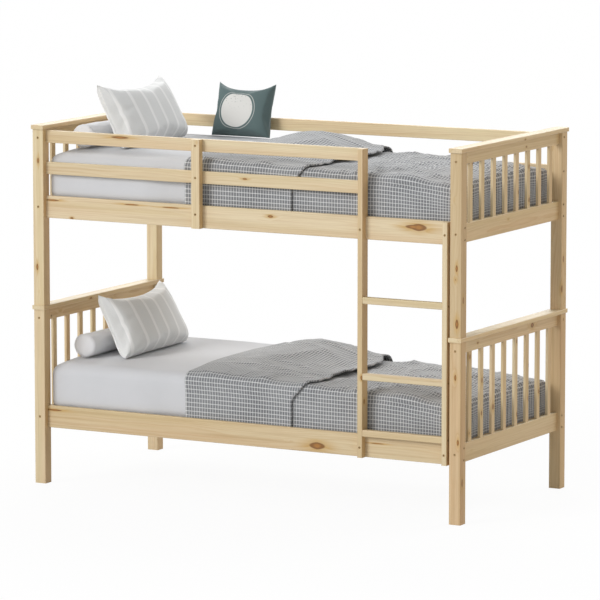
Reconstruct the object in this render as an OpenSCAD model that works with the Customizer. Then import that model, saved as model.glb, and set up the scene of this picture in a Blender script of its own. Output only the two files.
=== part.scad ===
// Bunk bed with ladder: two single beds in solid pine, one stacked on the other.
// Each takes a 1900 x 900 mattress. The beds are held together by pins in the posts,
// and the ladder is bolted across the front of both.
// Origin: on the floor, under the middle of the bed. X runs along the bed with the
// pillows at -X, Y across it with the ladder at -Y, and Z is up. Millimetres.

/* [Posts and caps] */
// Length over the posts
bed_length = 2020; // [1980:5:2080]
// Width over the posts
bed_width = 984; // [970:2:1040]
// Post section, along the bed
post_x = 52; // [48:1:58]
// Post section, across the bed
post_y = 48; // [46:1:52]
// Height of the lower posts
lower_post_h = 745; // [700:5:800]
// Height of the upper posts
upper_post_h = 747; // [727:1:800]
// Thickness of the cap board on each end panel
cap_t = 18; // [16:1:22]
// How far a cap stands past the posts, at the ends of the bed
cap_over_x = 5; // [2:1:10]
// How far a cap stands past the posts, at the front and back
cap_over_y = 7; // [2:1:10]
// Rounding of the timber's long edges
edge_r = 3; // [1:0.5:4]

/* [Side rails] */
// Height of the lower side rails' middle above the floor
lower_rail_mid = 287; // [260:1:320]
// Height of the upper side rails' middle above the floor
upper_rail_mid = 1182; // [1170:1:1200]
// Height of a side rail's section
side_rail_h = 94; // [84:2:100]
// Thickness of side, guard and end rails
rail_t = 20; // [18:1:22]
// Side rails' set-back from the posts' outer faces
rail_set_back = 22; // [20:1:24]

/* [End panels] */
// Height of the rail under the cap
end_top_h = 50; // [46:2:60]
// Height of the rail at the level of the mattress base
end_bottom_h = 78; // [70:2:90]
// Number of upright slats in an end panel
slat_count = 8; // [4:1:9]
// Width of an upright slat
slat_w = 28; // [20:1:36]
// Thickness of an upright slat
slat_t = 12; // [10:1:14]
// Distance between the slats' middles
slat_pitch = 106; // [80:1:106]

/* [Guard rails] */
// Height of the top guard rails' middle above the floor
guard_top_mid = 1479; // [1474:1:1482]
// Height of the lower guard rails' middle above the floor
guard_low_mid = 1346; // [1330:1:1360]
// Height of a guard rail's section
guard_h = 52; // [44:2:56]
// Position along the bed of the upright between the guard rails
upright_x = -216; // [-400:2:0]
// Width of the upright
upright_w = 40; // [34:1:50]

/* [Ladder] */
// Width over the ladder's stiles
ladder_w = 407.5; // [360:0.5:440]
// Gap between the ladder and the right-hand post
ladder_gap = 8.5; // [4:0.5:30]
// Stile width, seen from the front
stile_w = 23; // [20:1:28]
// Stile thickness in front of the side rails
stile_front = 29; // [24:1:32]
// Heights of the rungs' middles above the floor
rung_mids = [342, 575, 888]; // [342:1:1080]
// Height of a rung's section
rung_h = 28; // [24:1:30]
// Rung's set-back from the stiles' front faces
rung_set_back = 2; // [1:0.5:6]

/* [Mattress bases] */
// Depth of the slatted base below the side rails' top edge
base_drop = 28; // [20:1:34]
// Number of bed slats in a base
bed_slat_count = 13; // [8:1:14]
// Width of a bed slat
bed_slat_w = 70; // [50:1:90]
// Thickness of a bed slat
bed_slat_t = 15; // [12:1:18]
// Height of the cleat that carries the bed slats
cleat_h = 25; // [20:1:28]

/* [Bedding] */
// Mattress length
mattress_l = 1885; // [1800:5:1895]
// Mattress width
mattress_w = 872; // [850:1:876]
// Mattress thickness
mattress_t = 218.5; // [150:0.5:218.5]
// Rounding of the mattress's edges
mattress_r = 50; // [10:1:60]
// Blanket thickness
blanket_t = 8; // [3:0.5:8]
// Where the blanket's head edge crosses the mattress's sides
blanket_start = -292; // [-420:1:-200]
// Bow of the blanket's head edge towards the pillows
blanket_bow = 40; // [20:1:160]
// Height of the blanket's folded-back roll
fold_h = 46; // [20:1:60]
// Pillow thickness
pillow_t = 128; // [60:1:140]
// Pillow width
pillow_w = 562; // [400:2:600]
// Pillow height
pillow_h = 293; // [200:1:300]
// Lean of the pillow from upright
pillow_lean = 30; // [20:1:35]
// Bolster diameter
bolster_d = 104; // [80:1:110]
// Bolster length
bolster_l = 660; // [400:5:800]
// Cushion thickness
cushion_t = 94; // [60:1:100]
// Cushion width
cushion_w = 288; // [200:1:300]
// Cushion height
cushion_h = 229; // [180:1:240]
// Lean of the cushion from upright
cushion_lean = 16.5; // [5:0.5:20]

/* [Hidden] */
$fn = 24;

front = -1;
back = 1;
left = -1;
right = 1;
lower = 0;
upper = 1;
levels = [lower, upper];

// Heights of each bed: its posts' feet and tops, and its side rails
foot_z = [0, lower_post_h + cap_t];
post_h = [lower_post_h, upper_post_h];
top_z = foot_z + post_h;
rail_mid = [lower_rail_mid, upper_rail_mid];
rail_top = [for (mid = rail_mid) mid + side_rail_h / 2];

// Middle planes of the posts, the end rails and the side rails
post_mid_x = (bed_length - post_x) / 2;
post_mid_y = (bed_width - post_y) / 2;
rail_mid_y = bed_width / 2 - rail_set_back - rail_t / 2;
side_rail_l = bed_length - 2 * post_x;
end_rail_l = bed_width - 2 * post_y;

// End panels: the slats stand 2 behind the rails' outer faces
slat_mid_x = post_mid_x + rail_t / 2 - 2 - slat_t / 2;
slat_ys = [for (i = [0 : slat_count - 1]) (i - (slat_count - 1) / 2) * slat_pitch];
tenon = [8, slat_w - 4, 12];
joint_play = 0.1;

// Ladder and upright: both stand in front of the rails, and the stiles also reach back
ladder_front = -rail_mid_y - rail_t / 2 - stile_front;
ladder_right = side_rail_l / 2 - ladder_gap;
ladder_left = ladder_right - ladder_w;
stile_bottom = rail_mid[lower] - side_rail_h / 2;
guard_top_edge = guard_top_mid + guard_h / 2;
rung_depth = stile_front - rung_set_back;
rung_tenon = [10, 19, 18];
rung_mid_y = ladder_front + rung_set_back + rung_depth / 2;
upright_bottom = rail_mid[upper] - side_rail_h / 2;
upright_foot_bolt = 59;

// Connector bolts with barrel nuts, and the short bolts with insert nuts
bolt_d = 6;
head_d = 10;
head_h = 6;
head_sink = 1.5;
head_seat = head_sink + head_h;
bolt_shank = 82;
barrel_d = 10;
barrel_l = 16;
barrel_depth = 82;
rail_bolt_step = 24.5;
end_top_bolt_drop = 36;
guard_bolt_zs = [guard_top_mid + 11, guard_low_mid];
short_shank = stile_front + 15 - head_seat;
insert_d = 9;
insert_l = 13;
ladder_bolt_drop = 5;

// Pins, dowels and screws
pin_d = 10;
pin_l = 80;
pin_below = 26;
dowel_d = 8;
cap_dowel_ys = [-300, 0, 300];
cap_dowel = [24, 12];
guard_dowel = [26, 12];
guard_dowel_step = 13;
screw_d = 4;
screw_head_d = 8;
screw_l = 32;
rung_screw_l = 48;

// Mattress bases
base_z = [for (top = rail_top) top - base_drop];
cleat_t = 20;
cleat_end_gap = 43;
cleat_l = side_rail_l - 2 * cleat_end_gap;
cleat_screw_xs = [for (i = [-2.5 : 2.5]) i * 340];
bed_slat_l = 2 * rail_mid_y - rail_t - 6;
bed_slat_span = cleat_l - bed_slat_w - 20;
bed_slat_xs = [for (i = [0 : bed_slat_count - 1]) (i / (bed_slat_count - 1) - 0.5) * bed_slat_span];
strap_w = 20;
strap_t = 1;
strap_ys = [-300, 300];

// Bedding: soft pieces stand a hair clear of what they lie on
soft_gap = 0.4;
mattress_z = [for (z = base_z) z + strap_t + soft_gap];
mattress_mid_x = -9;
bed_top = [for (z = mattress_z) z + mattress_t];
blanket_hang = 31;
roll_start = blanket_start + 60;
roll_l = 560;
roll_peak = [150, 270];
roll_edge_h = 0.55;
roll_side_gap = 40;
seam_gap = 3;
pillow_foot = [-691, -14];
pillow_yaw = 3;
pillow_seam_r = 8;
bolster_x = -863;
bolster_ease = 14;
cushion_foot = [-496, 376];
cushion_seam_r = 6;

pine = [0.83, 0.72, 0.54];
pine_light = [0.88, 0.79, 0.63];
steel = [0.42, 0.40, 0.37];
linen = [0.90, 0.90, 0.90];
grey_check = [0.58, 0.59, 0.60];
grey_stripe = [0.75, 0.75, 0.74];
sage = [0.37, 0.46, 0.44];

// ---- Shared shapes

// A rounded rectangle, its low corner at the origin
module rounded_rect(w, h, r) {
    translate([r, 0]) square([w - 2 * r, h]);
    translate([0, r]) square([w, h - 2 * r]);
    for (x = [r, w - r], y = [r, h - r]) translate([x, y]) circle(r);
}

// Timber along one axis, its low corner at the origin and its four long edges rounded
module timber_x(size, r = edge_r) {
    rotate([90, 0, 90]) linear_extrude(size.x) rounded_rect(size.y, size.z, r);
}
module timber_y(size, r = edge_r) {
    translate([0, size.y, 0]) rotate([90, 0, 0]) linear_extrude(size.y) rounded_rect(size.x, size.z, r);
}
module timber_z(size, r = edge_r) {
    linear_extrude(size.z) rounded_rect(size.x, size.y, r);
}

// A block standing on z = 0 about the Z axis, rounded along all twelve edges
module soft_block(size, r) {
    translate([-size.x / 2, -size.y / 2, 0]) intersection() {
        timber_x(size, r);
        timber_y(size, r);
        timber_z(size, r);
    }
}

// Places its children at one corner of the bed. They are drawn for the right-hand front corner.
module at_corner(side_x, side_y) {
    if (side_x == left) mirror([1, 0, 0]) at_corner(right, side_y) children();
    else if (side_y == back) mirror([0, 1, 0]) children();
    else children();
}
module at_end(side_x) {
    at_corner(side_x, front) children();
}
corners = [[left, front], [left, back], [right, front], [right, back]];
front_corners = [[left, front], [right, front]];
back_corners = [[left, back], [right, back]];
left_corners = [[left, front], [left, back]];
right_corners = [[right, front], [right, back]];
guarded_corners = [[left, front], [left, back], [right, back]];

// ---- Fixings: each is drawn with its outer face at the origin and its shank along +Z

module socket_bolt(shank) {
    difference() {
        translate([0, 0, head_sink]) cylinder(d = head_d, h = head_h);
        translate([0, 0, head_sink - 1]) cylinder(r = 2.9, h = 4.5, $fn = 6);
    }
    translate([0, 0, head_seat]) cylinder(d = bolt_d, h = shank);
}
module bolt_bore(shank) {
    translate([0, 0, -1]) cylinder(d = head_d + 1, h = head_seat + 1);
    cylinder(d = bolt_d + 0.6, h = head_seat + shank + 2);
}

// The barrel nut lies across the bolt, in a pocket open on the rail's inner face
module barrel_nut() {
    difference() {
        translate([0, -barrel_l / 2, barrel_depth]) rotate([-90, 0, 0]) cylinder(d = barrel_d, h = barrel_l);
        translate([0, 0, barrel_depth - barrel_d]) cylinder(d = bolt_d + 0.2, h = 2 * barrel_d);
        translate([-0.6, barrel_l / 2 - 1.5, barrel_depth - barrel_d]) cube([1.2, 2, 2 * barrel_d]);
    }
}
module connector_bore() {
    bolt_bore(bolt_shank);
    translate([0, -barrel_l / 2, barrel_depth]) rotate([-90, 0, 0]) cylinder(d = barrel_d + 0.4, h = rail_t);
}

// The insert nut sits in the rail, right behind the piece that the short bolt holds
module insert_nut() {
    translate([0, 0, stile_front]) difference() {
        cylinder(d = insert_d, h = insert_l);
        translate([0, 0, -1]) cylinder(d = bolt_d + 0.2, h = insert_l + 2);
    }
}
module short_bore() {
    bolt_bore(short_shank);
    translate([0, 0, stile_front]) cylinder(d = insert_d + 0.2, h = insert_l + 0.2);
}

module wood_screw(length, d = screw_d, head = screw_head_d) {
    sink = (head - d) / 2;
    translate([0, 0, 0.3]) cylinder(d1 = head, d2 = d, h = sink);
    cylinder(d = d, h = length - 3);
    translate([0, 0, length - 3]) cylinder(d1 = d, d2 = 1, h = 3);
}
module screw_bore(length, d = screw_d, head = screw_head_d) {
    sink = (head - d) / 2;
    translate([0, 0, -0.1]) cylinder(d1 = head + 0.8, d2 = d + 0.2, h = sink + 0.5);
    translate([0, 0, -0.1]) cylinder(d = d + 0.2, h = length + 0.6);
}

// ---- Where the fixings are

module at_end_rail_bolts(level, at = corners) {
    for (c = at, z = [top_z[level] - end_top_bolt_drop, rail_mid[level]]) at_corner(c[0], c[1])
        translate([post_mid_x, -bed_width / 2, z]) rotate([-90, 0, 0]) rotate(90) children();
}
module at_side_rail_bolts(level, at = corners) {
    for (c = at, step = [-rail_bolt_step, rail_bolt_step]) at_corner(c[0], c[1])
        translate([bed_length / 2, -rail_mid_y, rail_mid[level] + step]) rotate([0, -90, 0]) children();
}
module at_guard_bolts(at = guarded_corners) {
    for (c = at, z = guard_bolt_zs) at_corner(c[0], c[1])
        translate([bed_length / 2, -rail_mid_y, z]) rotate([0, -90, 0]) children();
}
module at_ladder_bolts() {
    for (x = [ladder_left, ladder_right - stile_w], mid = rail_mid)
        translate([x + stile_w / 2, ladder_front, mid - ladder_bolt_drop]) rotate([-90, 0, 0]) children();
}
module at_upright_bolts() {
    for (z = [upright_bottom + upright_foot_bolt, guard_low_mid, guard_top_mid])
        translate([upright_x, ladder_front, z]) rotate([-90, 0, 0]) children();
}
module at_rung_screws() {
    for (z = rung_mids) {
        translate([ladder_left, rung_mid_y, z]) rotate([0, 90, 0]) children();
        translate([ladder_right, rung_mid_y, z]) rotate([0, -90, 0]) children();
    }
}
module at_guard_dowels() {
    for (mid = [guard_top_mid, guard_low_mid], step = [-guard_dowel_step, guard_dowel_step])
        translate([ladder_left, -rail_mid_y, mid + step]) rotate([0, 90, 0]) children();
}
module at_cap_dowels(level, at) {
    for (side = at, y = cap_dowel_ys) at_end(side) translate([post_mid_x, y, top_z[level]]) children();
}
module at_pins(at = corners) {
    for (c = at) at_corner(c[0], c[1])
        translate([post_mid_x, -post_mid_y, top_z[lower] - pin_below]) children();
}
module at_cleat_screws(level, side_y) {
    for (x = cleat_screw_xs) at_corner(right, side_y)
        translate([x, -rail_mid_y + rail_t / 2 + cleat_t, base_z[level] - bed_slat_t - cleat_h / 2])
            rotate([90, 0, 0]) children();
}
module at_bed_slat_screws(level) {
    for (c = corners) at_corner(c[0], c[1])
        translate([bed_slat_xs[bed_slat_count - 1], -rail_mid_y + rail_t / 2 + cleat_t / 2, base_z[level]])
            rotate([180, 0, 0]) children();
}

// Dowels: a length on each side of the joint, which lies at z = 0
module dowel(reach) {
    translate([0, 0, -reach[0]]) cylinder(d = dowel_d, h = reach[0] + reach[1]);
}
module dowel_bore(reach) {
    translate([0, 0, -reach[0] - 1]) cylinder(d = dowel_d + 0.2, h = reach[0] + reach[1] + 2);
}

// ---- Posts, caps and end panels

module post(level, side_x, side_y) {
    at = [[side_x, side_y]];
    guarded = level == upper && !(side_x == right && side_y == front);
    color(pine) difference() {
        at_corner(side_x, side_y)
            translate([post_mid_x - post_x / 2, -bed_width / 2, foot_z[level]])
                timber_z([post_x, post_y, post_h[level]]);
        at_end_rail_bolts(level, at) bolt_bore(bolt_shank);
        at_side_rail_bolts(level, at) bolt_bore(bolt_shank);
        if (guarded) at_guard_bolts(at) bolt_bore(bolt_shank);
        at_pins(at) translate([0, 0, -1]) cylinder(d = pin_d + 0.3, h = pin_l + 2);
    }
}

module cap(level, side) {
    size = [post_x + 2 * cap_over_x, bed_width + 2 * cap_over_y, cap_t];
    color(pine_light) difference() {
        at_end(side) translate([post_mid_x - size.x / 2, -size.y / 2, top_z[level]]) intersection() {
            timber_y(size, 4);
            timber_z(size, 4);
        }
        at_cap_dowels(level, [side]) dowel_bore(cap_dowel);
        if (level == lower) at_pins(side == left ? left_corners : right_corners)
            cylinder(d = pin_d + 0.3, h = pin_l);
    }
}

// Mortises for the slats in a rail's face at height z
module slat_mortises(z) {
    size = tenon + 2 * joint_play * [1, 1, 1];
    for (y = slat_ys) translate([slat_mid_x, y, z]) cube([size.x, size.y, 2 * size.z], center = true);
}

module end_top_rail(level, side) {
    z = top_z[level] - end_top_h;
    color(pine) difference() {
        at_end(side) translate([post_mid_x - rail_t / 2, -end_rail_l / 2, z])
            timber_y([rail_t, end_rail_l, end_top_h]);
        at_end(side) slat_mortises(z);
        at_end_rail_bolts(level, side == left ? left_corners : right_corners) connector_bore();
        at_cap_dowels(level, [side]) dowel_bore(cap_dowel);
    }
}

module end_rail(level, side) {
    z = rail_mid[level] - end_bottom_h / 2;
    color(pine) difference() {
        at_end(side) translate([post_mid_x - rail_t / 2, -end_rail_l / 2, z])
            timber_y([rail_t, end_rail_l, end_bottom_h]);
        at_end(side) slat_mortises(z + end_bottom_h);
        at_end_rail_bolts(level, side == left ? left_corners : right_corners) connector_bore();
    }
}

module end_slats(level, side) {
    low = rail_mid[level] + end_bottom_h / 2;
    high = top_z[level] - end_top_h;
    color(pine_light) at_end(side) for (y = slat_ys) translate([slat_mid_x, y, low]) {
        translate([-slat_t / 2, -slat_w / 2, 0]) timber_z([slat_t, slat_w, high - low], 1.5);
        translate([-tenon.x / 2, -tenon.y / 2, -tenon.z]) cube([tenon.x, tenon.y, high - low + 2 * tenon.z]);
    }
}

// ---- Side rails and mattress bases

module side_rail(level, side_y) {
    color(pine) difference() {
        at_corner(right, side_y)
            translate([-side_rail_l / 2, -rail_mid_y - rail_t / 2, rail_mid[level] - side_rail_h / 2])
                timber_x([side_rail_l, rail_t, side_rail_h]);
        at_side_rail_bolts(level, side_y == front ? front_corners : back_corners) connector_bore();
        at_cleat_screws(level, side_y) screw_bore(screw_l);
        if (side_y == front) {
            at_ladder_bolts() short_bore();
            at_upright_bolts() short_bore();
        }
    }
}

module cleats(level) {
    color(pine) for (side_y = [front, back]) difference() {
        at_corner(right, side_y)
            translate([-cleat_l / 2, -rail_mid_y + rail_t / 2, base_z[level] - bed_slat_t - cleat_h])
                timber_x([cleat_l, cleat_t, cleat_h], 2);
        at_cleat_screws(level, side_y) screw_bore(screw_l);
        at_bed_slat_screws(level) screw_bore(screw_l);
    }
}

module bed_slats(level) {
    color(pine_light) for (x = bed_slat_xs) difference() {
        translate([x - bed_slat_w / 2, -bed_slat_l / 2, base_z[level] - bed_slat_t])
            timber_y([bed_slat_w, bed_slat_l, bed_slat_t], 2);
        if (x == bed_slat_xs[0] || x == bed_slat_xs[bed_slat_count - 1])
            at_bed_slat_screws(level) screw_bore(screw_l);
    }
}

module slat_straps() {
    color(linen) for (level = levels, y = strap_ys)
        translate([-cleat_l / 2 + 10, y - strap_w / 2, base_z[level]]) cube([cleat_l - 20, strap_w, strap_t]);
}

// ---- Guard rails and ladder

module guard_rail(side_y, mid) {
    right_end = side_y == front ? ladder_left : side_rail_l / 2;
    color(pine) difference() {
        translate([-side_rail_l / 2, side_y * rail_mid_y - rail_t / 2, mid - guard_h / 2])
            timber_x([side_rail_l / 2 + right_end, rail_t, guard_h]);
        at_guard_bolts(side_y == front ? [[left, front]] : back_corners) connector_bore();
        if (side_y == front) {
            at_upright_bolts() short_bore();
            at_guard_dowels() dowel_bore(guard_dowel);
        }
    }
}

module guard_upright() {
    color(pine_light) difference() {
        translate([upright_x - upright_w / 2, ladder_front, upright_bottom])
            timber_z([upright_w, stile_front, guard_top_edge - upright_bottom]);
        at_upright_bolts() bolt_bore(short_shank);
    }
}

// A stile is rebated to sit over both side rails, and housed for the rungs
module ladder_stile(x, top) {
    play = 0.15;
    color(pine_light) difference() {
        translate([x, ladder_front, stile_bottom])
            timber_z([stile_w, stile_front + rail_t, top - stile_bottom]);
        for (mid = rail_mid) translate([x - 1, ladder_front + stile_front, mid - side_rail_h / 2 - play])
            cube([stile_w + 2, rail_t + 1, side_rail_h + 2 * play]);
        for (z = rung_mids) rung_body(z, joint_play);
        at_ladder_bolts() bolt_bore(short_shank);
        at_rung_screws() screw_bore(rung_screw_l, 4.5, 9);
        at_guard_dowels() dowel_bore(guard_dowel);
    }
}

// One rung: its body between the stiles and a stub tenon in each
module rung_body(z, play = 0) {
    clear = ladder_w - 2 * stile_w;
    reach = clear + 2 * (rung_tenon.x + play);
    if (play == 0) translate([ladder_left + stile_w, rung_mid_y - rung_depth / 2, z - rung_h / 2])
        timber_x([clear, rung_depth, rung_h], 4);
    translate([ladder_left + ladder_w / 2, rung_mid_y, z])
        cube([reach, rung_tenon.y + 2 * play, rung_tenon.z + 2 * play], center = true);
}

module ladder_rungs() {
    color(pine_light) for (z = rung_mids) difference() {
        rung_body(z);
        at_rung_screws() screw_bore(rung_screw_l, 4.5, 9);
    }
}

// ---- Fixings as groups of separate pieces

module frame_bolts() {
    color(steel) {
        for (level = levels) {
            at_end_rail_bolts(level) socket_bolt(bolt_shank);
            at_side_rail_bolts(level) socket_bolt(bolt_shank);
        }
        at_guard_bolts() socket_bolt(bolt_shank);
    }
}
module barrel_nuts() {
    color(steel) {
        for (level = levels) {
            at_end_rail_bolts(level) barrel_nut();
            at_side_rail_bolts(level) barrel_nut();
        }
        at_guard_bolts() barrel_nut();
    }
}
module short_bolts() {
    color(steel) {
        at_ladder_bolts() socket_bolt(short_shank);
        at_upright_bolts() socket_bolt(short_shank);
    }
}
module insert_nuts() {
    color(steel) {
        at_ladder_bolts() insert_nut();
        at_upright_bolts() insert_nut();
    }
}
module stacking_pins() {
    color(steel) at_pins() cylinder(d = pin_d, h = pin_l);
}
module wood_dowels() {
    color(pine) {
        for (level = levels) at_cap_dowels(level, [left, right]) dowel(cap_dowel);
        at_guard_dowels() dowel(guard_dowel);
    }
}
module rung_screws() {
    color(steel) at_rung_screws() wood_screw(rung_screw_l, 4.5, 9);
}
module cleat_screws() {
    color(steel) for (level = levels, side_y = [front, back])
        at_cleat_screws(level, side_y) wood_screw(screw_l);
}
module bed_slat_screws() {
    color(steel) for (level = levels) at_bed_slat_screws(level) wood_screw(screw_l - 2);
}

// ---- Bedding

module mattress(level) {
    color(linen) translate([mattress_mid_x, 0, mattress_z[level]])
        soft_block([mattress_l, mattress_w, mattress_t], mattress_r);
}

// The outer shape of the mattress with a layer round it
module layer_block(level, grow) {
    translate([mattress_mid_x, 0, mattress_z[level] - grow])
        soft_block([mattress_l, mattress_w, mattress_t] + 2 * grow * [1, 1, 1], mattress_r + grow);
}

// The blanket lies over the foot of the mattress, hangs inside the side rails and is folded
// back on itself
module blanket(level) {
    bow_r = (pow(mattress_w / 2, 2) + pow(blanket_bow, 2)) / (2 * blanket_bow);
    deep = mattress_t + 200;
    color(grey_check) {
        difference() {
            intersection() {
                layer_block(level, blanket_t + soft_gap);
                translate([0, 0, rail_mid[level] + blanket_hang]) union() {
                    translate([blanket_start, -bed_width / 2, 0]) cube([bed_length, bed_width, deep]);
                    translate([blanket_start - blanket_bow + bow_r, 0, 0])
                        cylinder(r = bow_r, h = deep, $fn = 96);
                }
            }
            layer_block(level, soft_gap);
        }
        translate([0, mattress_w / 2 - roll_side_gap, bed_top[level] + blanket_t / 2]) rotate([90, 0, 0])
            linear_extrude(mattress_w - 2 * roll_side_gap) blanket_roll();
    }
}
module blanket_roll() {
    edge = roll_start + roll_l;
    edge_h = fold_h * roll_edge_h;
    r = edge_h / 2;
    polygon([
        [roll_start, 0], [roll_start + roll_peak[0], fold_h], [roll_start + roll_peak[1], fold_h],
        [edge, edge_h], [edge, 0]]);
    translate([edge, 0]) square([r, edge_h - r]);
    translate([edge, edge_h - r]) circle(r);
}

// A round roll with eased ends, across the bed against the end panel
module bolster(level) {
    r = bolster_d / 2;
    ease = bolster_ease;
    color(linen) translate([bolster_x, bolster_l / 2, bed_top[level] + soft_gap + r]) rotate([90, 0, 0])
        rotate_extrude($fn = 48) {
            square([r - ease, bolster_l]);
            translate([0, ease]) square([r, bolster_l - 2 * ease]);
            for (y = [ease, bolster_l - ease]) translate([r - ease, y]) circle(ease);
        }
}

// A stuffed cushion standing on its lower seam: width along Y, thickness along X
module stuffed(size, seam_r) {
    hull() {
        for (y = [-1, 1], z = [0, 1])
            translate([0, y * (size.y / 2 - seam_r), seam_r + z * (size.z - 2 * seam_r)])
                sphere(seam_r, $fn = 12);
        translate([0, 0, size.z / 2]) scale([size.x, size.y * 0.86, size.z * 0.86] / 100)
            sphere(d = 100, $fn = 28);
    }
}

module pillow(level) {
    color(grey_stripe) translate([pillow_foot[0], pillow_foot[1], bed_top[level] + seam_gap])
        rotate([0, 0, pillow_yaw]) rotate([0, -pillow_lean, 0])
            stuffed([pillow_t, pillow_w, pillow_h], pillow_seam_r);
}

module cushion() {
    color(sage) translate([cushion_foot[0], cushion_foot[1], bed_top[upper] + seam_gap])
        rotate([-cushion_lean, 0, 0]) rotate(90) stuffed([cushion_t, cushion_w, cushion_h], cushion_seam_r);
}

post(lower, left, front);  // lower_post_front_left
post(lower, right, front);  // lower_post_front_right
post(lower, left, back);  // lower_post_back_left
post(lower, right, back);  // lower_post_back_right
post(upper, left, front);  // upper_post_front_left
post(upper, right, front);  // upper_post_front_right
post(upper, left, back);  // upper_post_back_left
post(upper, right, back);  // upper_post_back_right
cap(lower, left);  // lower_cap_left
cap(lower, right);  // lower_cap_right
cap(upper, left);  // upper_cap_left
cap(upper, right);  // upper_cap_right
end_top_rail(lower, left);  // lower_end_top_rail_left
end_top_rail(lower, right);  // lower_end_top_rail_right
end_top_rail(upper, left);  // upper_end_top_rail_left
end_top_rail(upper, right);  // upper_end_top_rail_right
end_rail(lower, left);  // lower_end_rail_left
end_rail(lower, right);  // lower_end_rail_right
end_rail(upper, left);  // upper_end_rail_left
end_rail(upper, right);  // upper_end_rail_right
end_slats(lower, left);  // lower_end_slats_left
end_slats(lower, right);  // lower_end_slats_right
end_slats(upper, left);  // upper_end_slats_left
end_slats(upper, right);  // upper_end_slats_right
side_rail(lower, front);  // lower_side_rail_front
side_rail(lower, back);  // lower_side_rail_back
side_rail(upper, front);  // upper_side_rail_front
side_rail(upper, back);  // upper_side_rail_back
cleats(lower);  // lower_cleats
cleats(upper);  // upper_cleats
bed_slats(lower);  // lower_bed_slats
bed_slats(upper);  // upper_bed_slats
slat_straps();
guard_rail(front, guard_top_mid);  // front_guard_rail_top
guard_rail(front, guard_low_mid);  // front_guard_rail_low
guard_rail(back, guard_top_mid);  // back_guard_rail_top
guard_rail(back, guard_low_mid);  // back_guard_rail_low
guard_upright();
ladder_stile(ladder_left, guard_top_edge);  // ladder_stile_left
ladder_stile(ladder_right - stile_w, rail_top[upper]);  // ladder_stile_right
ladder_rungs();
stacking_pins();
wood_dowels();
frame_bolts();
barrel_nuts();
short_bolts();
insert_nuts();
rung_screws();
cleat_screws();
bed_slat_screws();
mattress(lower);  // lower_mattress
mattress(upper);  // upper_mattress
blanket(lower);  // lower_blanket
blanket(upper);  // upper_blanket
bolster(lower);  // lower_bolster
bolster(upper);  // upper_bolster
pillow(lower);  // lower_pillow
pillow(upper);  // upper_pillow
cushion();  // upper_cushion
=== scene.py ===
import math
import random

import bmesh
import bpy
from mathutils import Matrix, Vector, noise


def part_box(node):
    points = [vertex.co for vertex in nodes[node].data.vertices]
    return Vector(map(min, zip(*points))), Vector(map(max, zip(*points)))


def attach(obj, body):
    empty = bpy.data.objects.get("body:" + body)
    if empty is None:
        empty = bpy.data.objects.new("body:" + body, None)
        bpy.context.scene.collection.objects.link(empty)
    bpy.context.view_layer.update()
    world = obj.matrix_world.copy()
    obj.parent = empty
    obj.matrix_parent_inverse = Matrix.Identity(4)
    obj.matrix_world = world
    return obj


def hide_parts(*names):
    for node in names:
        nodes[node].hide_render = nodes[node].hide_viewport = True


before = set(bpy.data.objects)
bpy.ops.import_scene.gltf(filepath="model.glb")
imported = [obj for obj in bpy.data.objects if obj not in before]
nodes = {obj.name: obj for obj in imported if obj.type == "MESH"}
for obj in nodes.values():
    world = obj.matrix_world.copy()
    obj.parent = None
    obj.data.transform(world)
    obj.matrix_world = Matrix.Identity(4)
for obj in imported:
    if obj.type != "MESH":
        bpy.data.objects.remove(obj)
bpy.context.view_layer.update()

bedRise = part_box("upper_mattress")[0].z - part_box("lower_mattress")[0].z
scene = bpy.context.scene
print("frame loaded:", len(nodes), "CAD nodes")


class Value:  # a socket of a material's nodes that takes Python's operators
    def __init__(self, paint, socket):
        self.paint = paint
        self.socket = socket

    def math(self, operation, *inputs):
        return self.paint.add("ShaderNodeMath", {"operation": operation}, inputs)

    def __add__(self, other):
        return self.math("ADD", self, other)

    def __radd__(self, other):
        return self.math("ADD", other, self)

    def __sub__(self, other):
        return self.math("SUBTRACT", self, other)

    def __rsub__(self, other):
        return self.math("SUBTRACT", other, self)

    def __mul__(self, other):
        return self.math("MULTIPLY", self, other)

    def __rmul__(self, other):
        return self.math("MULTIPLY", other, self)

    def __truediv__(self, other):
        return self.math("DIVIDE", self, other)

    def __pow__(self, other):
        return self.math("POWER", self, other)

    def __rpow__(self, other):
        return self.math("POWER", other, self)

    def fraction(self):
        return self.math("FRACT", self)

    def size(self):
        return self.math("ABSOLUTE", self)

    def least(self, other):
        return self.math("MINIMUM", self, other)

    def most(self, other):
        return self.math("MAXIMUM", self, other)

    def wave(self):
        return self.math("SINE", self)

    def step(self, low, high):  # smooth step from 0 at low to 1 at high
        return self.paint.add("ShaderNodeMapRange", {"interpolation_type": "SMOOTHSTEP"}, [self, low, high])

    def parts(self):
        return [Value(self.paint, socket) for socket in self.socket.node.outputs]


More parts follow.
